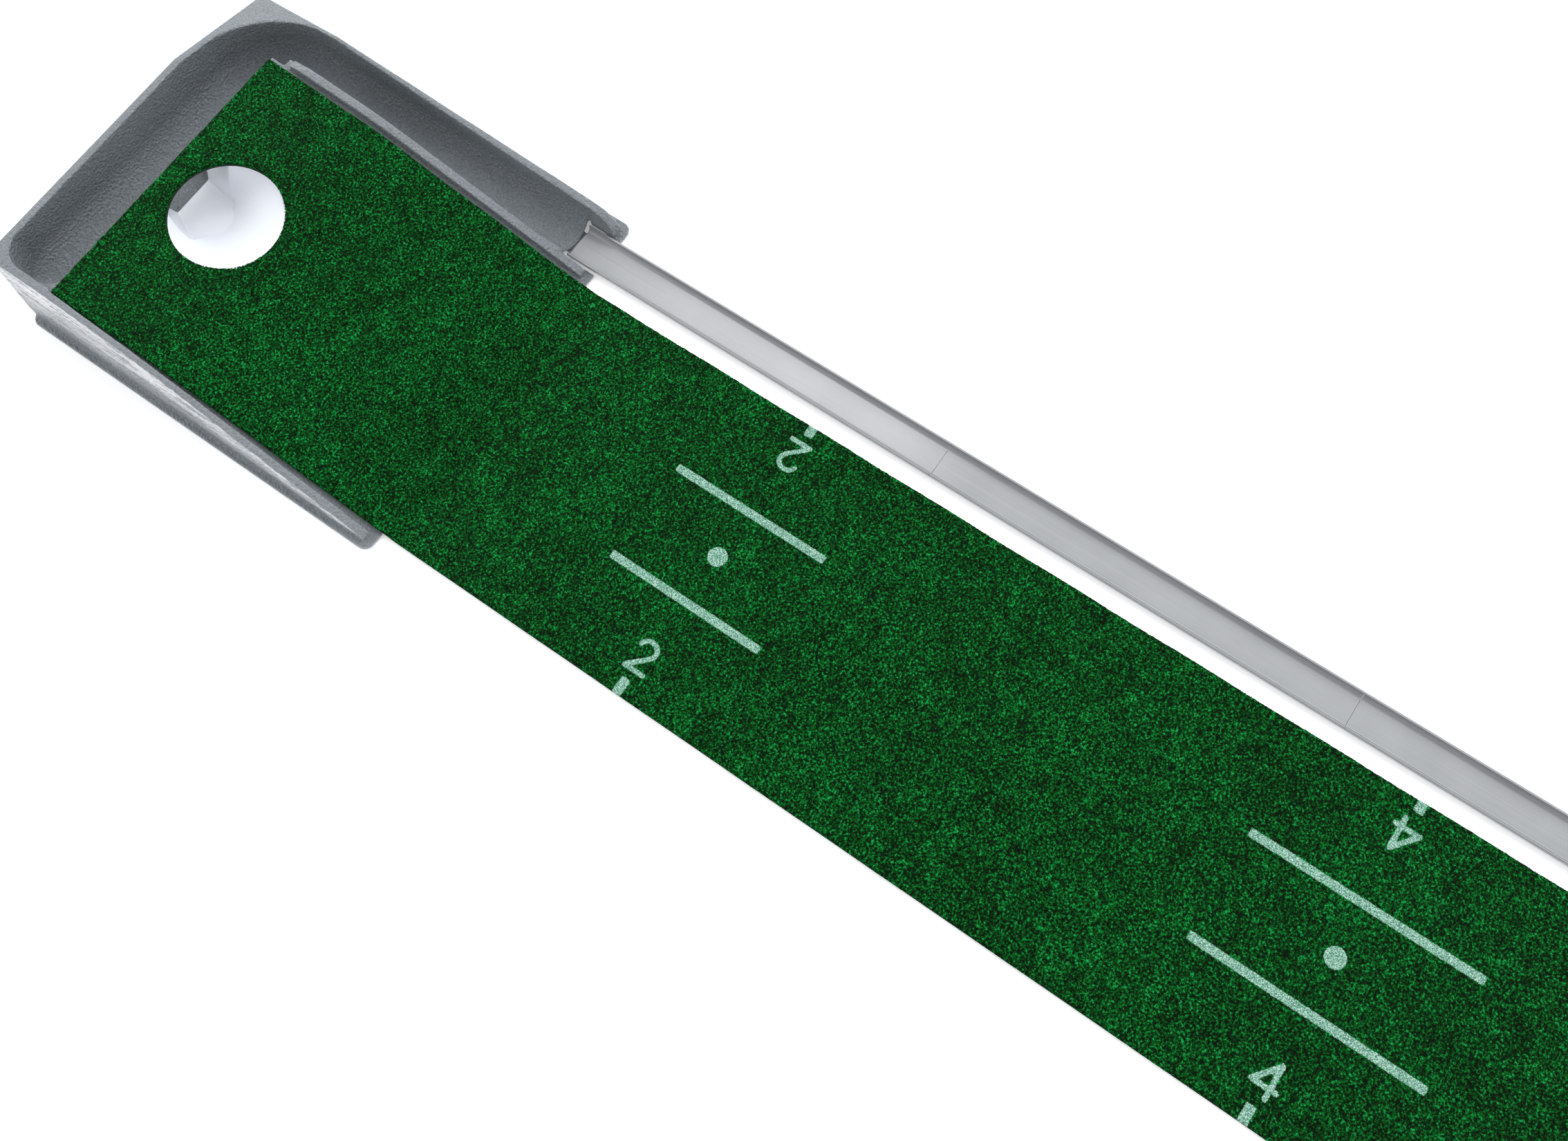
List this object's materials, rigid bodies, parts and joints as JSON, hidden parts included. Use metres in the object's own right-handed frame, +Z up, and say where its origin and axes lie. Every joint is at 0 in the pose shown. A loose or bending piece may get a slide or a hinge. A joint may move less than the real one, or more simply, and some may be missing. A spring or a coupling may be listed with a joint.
{
  "type": "practice putting mat",
  "caption": "Roll-out practice putting mat: turf strip climbing a moulded cup base with a rear gutter, side gutter and plug-together ball return track.",
  "frame": {"origin": "on the floor, under the middle of the object's outline", "axes": "+Y from the player towards the hole, +X to the side the return track is on, +Z up"},
  "size_m": [0.404, 2.5056, 0.088],
  "materials": {
    "base_plastic": "pebble-grained moulded plastic",
    "cup_plastic": "smooth white moulded plastic",
    "turf": "short dense tufted pile",
    "backing_rubber": "matte non-slip backing",
    "hook_tape": "woven hook tape",
    "loop_tape": "brushed loop tape",
    "track_plastic": "smooth extruded plastic",
    "pad_rubber": "soft non-slip rubber"
  },
  "bodies": {
    "base": {"base_tray": "base_plastic", "cup_insert": "cup_plastic", "hook_strip_front": "hook_tape", "hook_strip_rear_left": "hook_tape", "hook_strip_rear_right": "hook_tape", "base_foot_1": "pad_rubber", "base_foot_2": "pad_rubber", "base_foot_3": "pad_rubber", "base_foot_4": "pad_rubber", "base_foot_5": "pad_rubber", "base_foot_6": "pad_rubber"},
    "mat": {"turf_pile": "turf", "turf_backing": "backing_rubber", "loop_strip_front": "loop_tape", "loop_strip_rear_left": "loop_tape", "loop_strip_rear_right": "loop_tape"},
    "section_1": {"track_section_1": "track_plastic", "track_pads_1": "pad_rubber"},
    "section_2": {"track_section_2": "track_plastic", "track_pads_2": "pad_rubber"},
    "section_3": {"track_section_3": "track_plastic", "track_pads_3": "pad_rubber"},
    "section_4": {"track_section_4": "track_plastic", "track_pads_4": "pad_rubber"},
    "section_5": {"track_section_5": "track_plastic", "track_pads_5": "pad_rubber"},
    "end_stop": {"track_end_stop": "track_plastic", "end_stop_pad": "pad_rubber"}
  },
  "joints": [
    {"name": "mat_lift", "type": "slide", "parent": "base", "child": "mat", "axis": [0, 0, 1], "range_m": [0, 0.05]},
    {"name": "section_1_pull", "type": "slide", "parent": "base", "child": "section_1", "axis": [0, -1, 0], "range_m": [0, 0.025]},
    {"name": "section_2_pull", "type": "slide", "parent": "section_1", "child": "section_2", "axis": [0, -1, 0], "range_m": [0, 0.025]},
    {"name": "section_3_pull", "type": "slide", "parent": "section_2", "child": "section_3", "axis": [0, -1, 0], "range_m": [0, 0.025]},
    {"name": "section_4_pull", "type": "slide", "parent": "section_3", "child": "section_4", "axis": [0, -1, 0], "range_m": [0, 0.025]},
    {"name": "section_5_pull", "type": "slide", "parent": "section_4", "child": "section_5", "axis": [0, -1, 0], "range_m": [0, 0.025]},
    {"name": "end_stop_pull", "type": "slide", "parent": "section_5", "child": "end_stop", "axis": [0, -1, 0], "range_m": [0, 0.025]}
  ]
}
